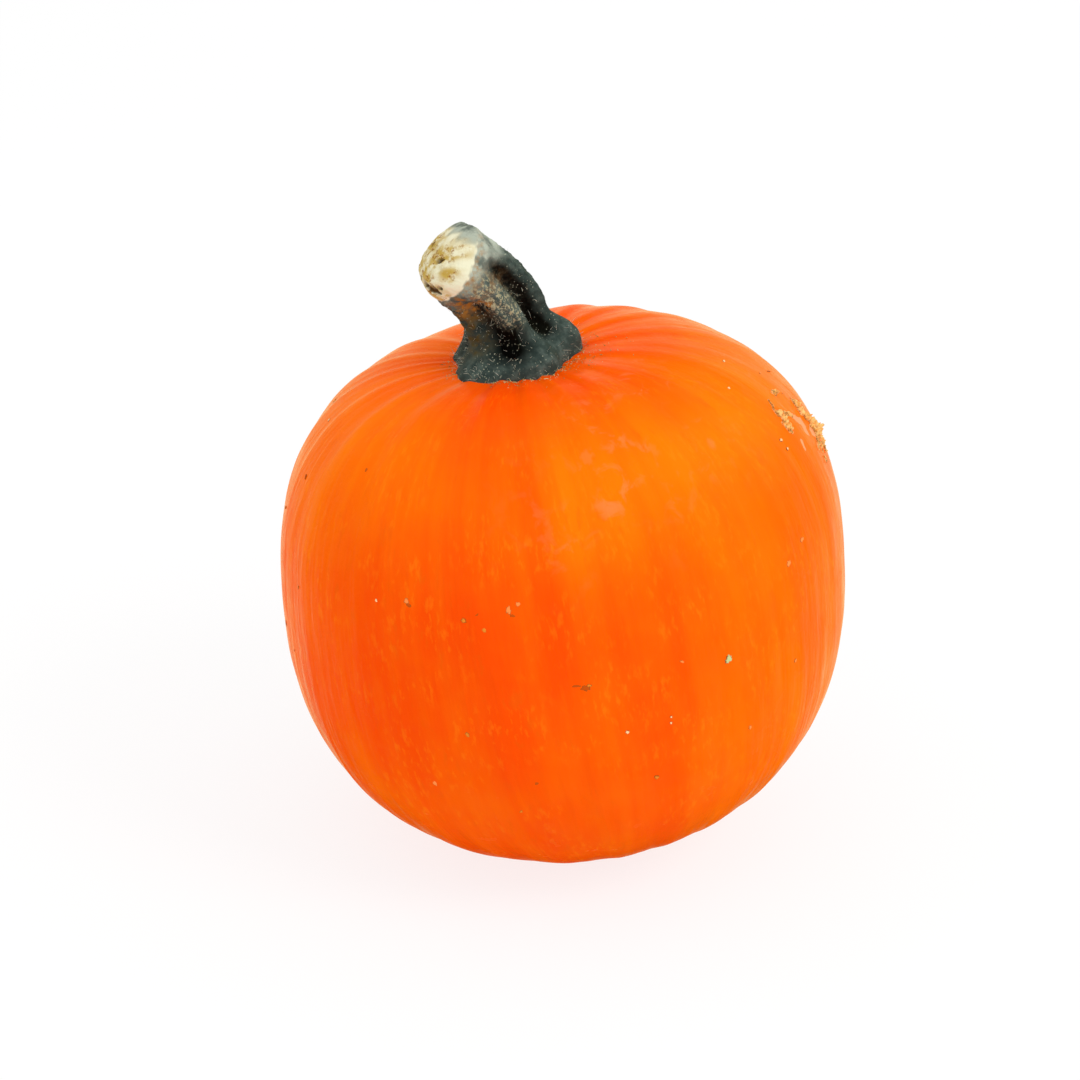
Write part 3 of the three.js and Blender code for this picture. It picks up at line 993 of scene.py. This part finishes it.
def make_scar():
    """The flaky corky scar high on the right: ragged strokes of cork round smooth healed skin."""
    (north, south), (west, east) = np.radians(SCAR_SPAN)
    spread = BODY_RADIUS * math.sin((north + south) / 2)
    angle = np.arange(north, south, SCAR_STEP / BODY_RADIUS)[:, None]
    longitude = np.arange(west, east, SCAR_STEP / spread)[None, :]
    angles, longitudes = np.broadcast_arrays(angle, longitude)
    x, y = longitudes * spread, angles * BODY_RADIUS
    flat = np.stack([x, y, 0 * x], -1)
    scale = np.array([BODY_RADIUS, spread])
    ragged = 0.75 * soft_noise(flat, 1.1, 13) + 0.45 * soft_noise(flat, 0.45, 14)
    cork_rise = stroke_height(x, y, SCAR_STROKES, scale, ragged)
    flakes = np.abs(soft_noise(flat, 0.7, 15)) + 0.5 * np.abs(soft_noise(flat, 0.32, 16))
    skin_rise = stroke_height(x, y, SCAR_PATCHES, scale, 0.5 * ragged)
    corky = smoothstep(cork_rise, 0.02, 0.12)
    lift = cork_rise * (0.45 + 1.5 * flakes) + skin_rise - SCAR_SUNK
    points = fruit_point(angles, longitudes, np.maximum(lift, -0.12))
    # Higher cork is paler and lower cork darker: partly the cork's own tone, partly painted light on
    # top and painted shade below.
    tone = np.clip(0.5 + 1.1 * soft_noise(flat, 0.6, 17) + 0.5 * (flakes - 0.4), 0, 1)[..., None]
    cork_tint = lerp(np.array(CORK_BRIGHT), np.array(CORK_TAN), tone)
    tint = lerp(np.array(HEALED_SKIN), cork_tint, corky[..., None])
    top = np.where(corky > 0.3, 1.5 * cork_rise * (0.2 + 1.6 * flakes), 0.8)
    rows, columns = angles.shape
    number = np.arange(rows * columns).reshape(rows, columns)
    corners = [number[:-1, :-1], number[1:, :-1], number[1:, 1:], number[:-1, 1:]]
    corners = np.stack(corners, -1).reshape(-1, 4)
    kept = corners[(lift.ravel()[corners] > SCAR_KEPT_ABOVE).any(axis=1)]
    used, faces = np.unique(kept, return_inverse=True)
    mesh = smooth_mesh("skin_scar", points.reshape(-1, 3)[used], faces.reshape(-1, 4).tolist())
    add_attribute(mesh, "top", np.clip(top, 0, 1).ravel()[used])
    add_attribute(mesh, "tint", tint.reshape(-1, 3)[used], "FLOAT_VECTOR")
    return mesh


BLOSSOM_SCAR_RADIUS = 3.4
BLOSSOM_SCAR_COLOUR = (0.42, 0.24, 0.10)


def make_blossom_scar():
    """The corky disc at the blossom end, with its little worn nub."""
    around = np.linspace(0, 2 * math.pi, 72, endpoint=False)[None, :]
    inward = np.linspace(1.05, 0.04, 26)[:, None]
    edge = BLOSSOM_SCAR_RADIUS * (1 + 0.06 * np.sin(5 * around + 1) + 0.04 * np.sin(9 * around))
    angles = math.pi - inward * edge / BOTTOM_HEIGHT
    local = fruit_point(angles, around + 0 * angles)
    ragged = 0.12 * soft_noise(local, 0.9, 11) + 0.1 * soft_noise(local, 0.35, 12)
    disc = 0.35 * smoothstep(1.0 - inward, 0.0, 0.12) + 0.7 * hump(inward, 0.3)
    disc = disc + 0.12 * np.cos(14 * inward)
    lift = disc + ragged * smoothstep(1 - inward, 0, 0.1) - 0.25 * smoothstep(inward, 0.98, 1.05)
    rings = fruit_point(angles, around + 0 * angles, lift)
    middle = fruit_point(math.pi, 0.0, 0.95)
    # The lower parts of the disc are darker, partly with painted shade.
    top = np.append(np.clip(lift / 0.6 + 0 * around, 0, 1).ravel(), 1)
    tint = np.tile(BLOSSOM_SCAR_COLOUR, (len(top), 1))
    return join_skins("blossom_scar", [(rings[:, ::-1], middle, {"top": top, "tint": tint})])


# ---- hairs and crumbs at the stem's foot ----

HAIR_COUNT = 620
HAIR_LENGTHS = (0.5, 1.5)
HAIR_THICKNESSES = (0.03, 0.055)
HAIR_COLOURS = ((0.40, 0.40, 0.26), (0.80, 0.80, 0.66))
CRUMB_COUNT = 700
CRUMB_COLOURS = ((0.26, 0.22, 0.04), (0.72, 0.62, 0.28))
CRUMB_SIZES = (0.09, 0.24)
CRUMB_REACH = 12


def hair(root, along, bend, length, thickness):
    """One tapered, slightly bent hair, as rings of three points."""
    side = unit(np.cross(along, [0.31, 0.52, 0.79]))
    other = np.cross(along, side)
    rings = []
    for share in (0.0, 0.4, 0.75):
        centre = root + length * (share * along + share**2 * bend)
        radius = thickness * (1 - 0.7 * share)
        turns = np.arange(3) * 2 * math.pi / 3
        rings.append(centre + radius * (np.cos(turns)[:, None] * side + np.sin(turns)[:, None] * other))
    return np.array(rings), root + length * (along + bend)


def make_hairs(side_points, side_normals, side_heights):
    """Short stiff hairs on the stem, thickest at its foot and thinning upwards."""
    rng = np.random.default_rng(SEED + 1)
    rows, columns = side_heights.shape
    parts = []
    while len(parts) < HAIR_COUNT:
        row = int(rows * rng.random() ** 2.2)
        column = rng.integers(columns)
        if side_heights[row, column] > 24 * rng.random() + 2:
            continue
        outward = side_normals[row, column]
        along = unit(outward + 0.75 * rng.normal(size=3))
        bend = 0.3 * rng.normal(size=3)
        length = rng.uniform(*HAIR_LENGTHS)
        root = side_points[row, column] - 0.1 * outward
        rings, tip = hair(root, along, bend, length, rng.uniform(*HAIR_THICKNESSES))
        parts.append((rings, tip, {}))
    return join_skins("stem_hairs", parts)


def make_crumbs():
    """Pale dry crumbs and stubs of hair on the rind around the stem's foot, mostly to the right."""
    rng = np.random.default_rng(SEED + 2)
    parts = []
    while len(parts) < CRUMB_COUNT:
        longitude = rng.uniform(0, 2 * math.pi)
        rightward = 0.5 + 0.5 * math.cos(longitude - math.radians(70))
        reach = rng.exponential(0.5 + 2.6 * rightward**4)
        if reach > CRUMB_REACH or rng.random() > 0.25 + rightward:
            continue
        angle = (FOOT_RADIUS * (1.0 - 0.05 * rightward) + reach) / TOP_HEIGHT
        size = rng.uniform(*CRUMB_SIZES)
        root = fruit_point(angle, longitude, -0.05)
        outward = unit(root)
        flat = unit(np.cross(outward, rng.normal(size=3)))
        along = unit(outward * rng.uniform(0.1, 0.9) + flat)
        bend = 0.2 * rng.normal(size=3)
        rings, tip = hair(root, along, bend, size * rng.uniform(1.2, 3.5), size * 0.5)
        parts.append((rings, tip, {}))
    return join_skins("foot_crumbs", parts)


# ---- the set: floor, light and camera ----

# Metres, degrees and, for the lens and its sensor, millimetres.
EYE_DISTANCE = 0.7
EYE_ELEVATION = 25
AIM_LEFT = 0.0047
AIM_ABOVE = 0.0087
LENS = 110
SENSOR = 36
FLOOR_SIZE = 8.0
FLOOR_GLOW = 0.81
FLOOR_DULL = (0.17, 0.17, 0.17)
FLOOR_BRIGHT = (0.19, 0.19, 0.19)
ROOM_LIGHT = 1.0
ROOM_GLOSS = 1.1
SOFTBOX_GLOSS = 2.6
REFLECTION_TINT = (1.0, 0.97, 0.55)
KEY_POSITION = (0.75, -0.5, 0.85)
KEY_TARGET = (0, 0, 0.06)
KEY_SIZE = 0.5
KEY_POWER = 4.0


def make_floor():
    """A plain pale floor."""
    half = FLOOR_SIZE / 2
    mesh = bpy.data.meshes.new("floor")
    corners = [(-half, -half, 0), (half, -half, 0), (half, half, 0), (-half, half, 0)]
    mesh.from_pydata(corners, [], [(0, 1, 2, 3)])
    tree = Tree(bpy.data.materials.new("floor_pale"))
    shade = tree.noise(tree.coordinates(), 3, detail=2)
    colour = tree.mix(shade, FLOOR_DULL, FLOOR_BRIGHT)
    tree.put(tree.shader.inputs["Emission Color"], (1.0, 1.0, 1.0))
    glow = {"Emission_Strength": FLOOR_GLOW, "Specular_IOR_Level": 0.0}
    mesh.materials.append(tree.finish(colour, 0.9, tree.bump(shade, 0.0001, 0.1), **glow))
    floor = new_object("floor", mesh)
    floor.visible_glossy = False


def make_world():
    """An even white room. Shiny surfaces see it faintly yellow, and only behind the pumpkin, where
    it is neither high nor low, and where a softbox stands at the upper right."""
    world = bpy.data.worlds.new("studio")
    bpy.context.scene.world = world
    tree = Tree(world, "Background")
    world.cycles.sampling_method = "NONE"
    outward = tree.make("TexCoord", "Generated")

    def facing(axis, low, high):
        dot = tree.nodes.new("ShaderNodeVectorMath")
        dot.operation = "DOT_PRODUCT"
        tree.put(dot.inputs[0], outward)
        tree.put(dot.inputs[1], tuple(unit(axis)))
        return tree.ramp(dot.outputs["Value"], low, high)

    elevation = math.radians(EYE_ELEVATION)
    behind = facing([0, math.cos(elevation), -math.sin(elevation)], 0.24, 0.42)
    not_high = facing([0, 0, -1], -0.62, -0.4)
    not_low = facing([0, 0, 1], -0.72, -0.45)
    softbox = facing([0.74, 0.1, 0.66], 0.86, 0.98)
    seen = tree.times(tree.times(behind, not_high), tree.times(not_low, ROOM_GLOSS))
    seen = tree.math("ADD", seen, tree.times(softbox, SOFTBOX_GLOSS))
    glossy = tree.make("LightPath", "Is Glossy Ray")
    strength = tree.make("Mix", "Result", Factor=glossy, A=ROOM_LIGHT, B=seen)
    tree.put(tree.shader.inputs["Color"], tree.mix(glossy, (1, 1, 1), REFLECTION_TINT))
    tree.put(tree.shader.inputs["Strength"], strength)


def make_lamp(name, position, target, size, power):
    lamp = bpy.data.lights.new(name, "AREA")
    lamp.size = size
    lamp.energy = power
    holder = new_object(name, lamp)
    holder.location = position
    holder.rotation_euler = (Vector(target) - Vector(position)).to_track_quat("-Z", "Y").to_euler()
    holder.visible_glossy = False


def make_camera(body_centre):
    elevation = math.radians(EYE_ELEVATION)
    towards_eye = Vector((0, -math.cos(elevation), math.sin(elevation)))
    screen_up = Vector((0, math.sin(elevation), math.cos(elevation)))
    eye = body_centre + EYE_DISTANCE * towards_eye
    aim = body_centre - Vector((AIM_LEFT, 0, 0)) + AIM_ABOVE * screen_up
    camera = bpy.data.cameras.new("camera")
    camera.lens = LENS
    camera.sensor_width = SENSOR
    camera.clip_start = 0.01
    holder = new_object("camera", camera)
    holder.location = eye
    holder.rotation_euler = (aim - eye).to_track_quat("-Z", "Y").to_euler()
    bpy.context.scene.camera = holder


# ---- the assembled pumpkin ----


LATTICE_ANGLES = 181
LATTICE_LONGITUDES = 360


def rough_lattice():
    """Points of the plain fruit, a degree apart, to find its floor and middle."""
    angle = np.linspace(0, math.pi, LATTICE_ANGLES)[:, None]
    longitude = np.linspace(0, 2 * math.pi, LATTICE_LONGITUDES, endpoint=False)[None, :]
    return fruit_point(angle, longitude).reshape(-1, 3)


lattice = rough_lattice()
FLOOR_LEVEL = lattice[:, 2].min() + FLAT_SPOT_RISE
cad_low, cad_high = (np.array(corner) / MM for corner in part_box("fruit"))
middle = (lattice.min(axis=0) + lattice.max(axis=0)) / 2
SHIFT = (cad_low + cad_high) / 2 - middle
SHIFT[2] = cad_low[2] - FLOOR_LEVEL

cork = cork_material()
stem_mesh = make_stem()
stem_normals = np.array([v.vector for v in stem_mesh.vertex_normals])
side, normals = (
    values[: STEM_ROWS * STEM_COLUMNS].reshape(STEM_ROWS, STEM_COLUMNS, 3)
    for values in (mesh_points(stem_mesh), stem_normals)
)
heights = (side - fruit_point(0.0, 0.0)) @ STEM_AXIS

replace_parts(place(make_fruit(), "pumpkin_fruit", rind_material()), "fruit")
hairs = make_hairs(side, normals, heights)
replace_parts(place(stem_mesh, "pumpkin_stem", stem_material()), "stem")
place(hairs, "stem_hairs", straw_material("stem_hair", *HAIR_COLOURS))
place(make_crumbs(), "foot_crumbs", straw_material("foot_crumb", *CRUMB_COLOURS))
place(make_spots(), "skin_spots", cork)
place(make_scar(), "skin_scar", cork)
place(make_blossom_scar(), "blossom_scar", cork)

make_floor()
make_world()
make_lamp("key", KEY_POSITION, KEY_TARGET, KEY_SIZE, KEY_POWER)
make_camera(Vector(SHIFT * MM))
bpy.context.scene.view_settings.view_transform = "Standard"
